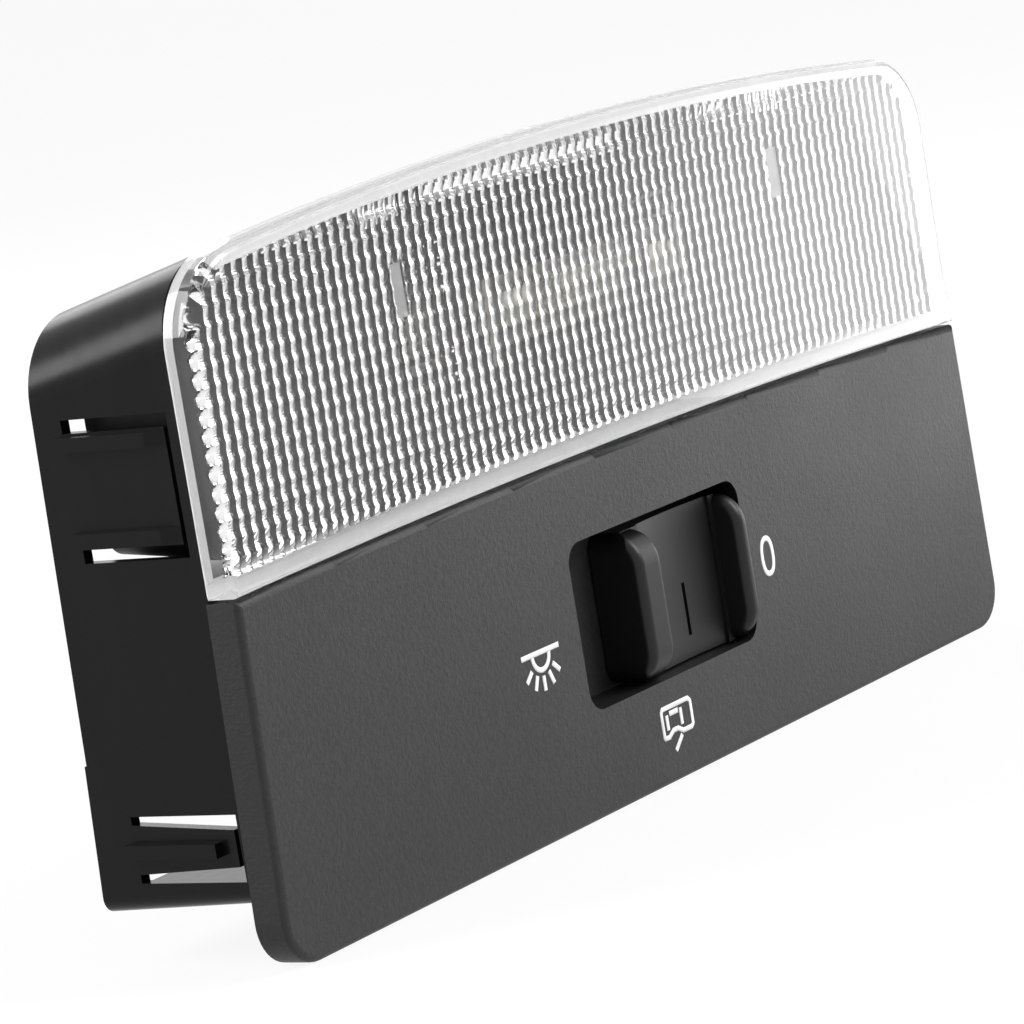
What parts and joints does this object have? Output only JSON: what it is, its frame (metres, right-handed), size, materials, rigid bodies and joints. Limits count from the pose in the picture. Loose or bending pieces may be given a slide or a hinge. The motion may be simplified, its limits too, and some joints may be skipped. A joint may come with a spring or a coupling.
{
  "type": "car dome light",
  "caption": "Snap-in car dome light: fluted clear lens over a festoon bulb, grained lower panel with a recessed slide switch, open-backed housing with sprung side catches.",
  "frame": {"origin": "in the seat plane behind the panel's lower ledge, at mid width, level with the ends of the joint line between lens and panel", "axes": "+X right as one faces the light, +Y into the roof opening, +Z towards the lens edge of the face"},
  "size_m": [0.1218, 0.0199, 0.0592],
  "materials": {
    "housing_plastic": "semi-gloss black moulded plastic with faint flow marks",
    "panel_plastic": "fine-grained charcoal moulded plastic",
    "lens_plastic": "clear polished acrylic",
    "reflector_sheet": "black-lacquered aluminium sheet",
    "bulb_glass": "clear thin glass",
    "plated_metal": "nickel-plated metal",
    "filament_wire": "dull grey wire",
    "contact_brass": "stamped sheet brass",
    "knob_plastic": "satin black moulded plastic",
    "carriage_plastic": "natural self-lubricating plastic",
    "base_plastic": "brown insulating board"
  },
  "bodies": {
    "lamp": {"housing": "housing_plastic", "face_panel": "panel_plastic", "lens": "lens_plastic", "reflector": "reflector_sheet", "bulb_glass": "bulb_glass", "bulb_cap_left": "plated_metal", "bulb_cap_right": "plated_metal", "bulb_filament": "filament_wire", "bulb_spring_left": "plated_metal", "bulb_spring_right": "plated_metal", "spring_rivet_left": "plated_metal", "spring_rivet_right": "plated_metal", "contact_base": "base_plastic", "lamp_strip": "contact_brass", "supply_strip": "contact_brass", "earth_strip": "contact_brass", "door_strip": "contact_brass"},
    "slider": {"switch_knob": "knob_plastic", "contact_carriage": "carriage_plastic", "bridge_contact": "contact_brass"}
  },
  "joints": [
    {"name": "switch_slide", "type": "slide", "parent": "lamp", "child": "slider", "axis": [1, 0, 0], "range_m": [-0.0092, 0]}
  ]
}
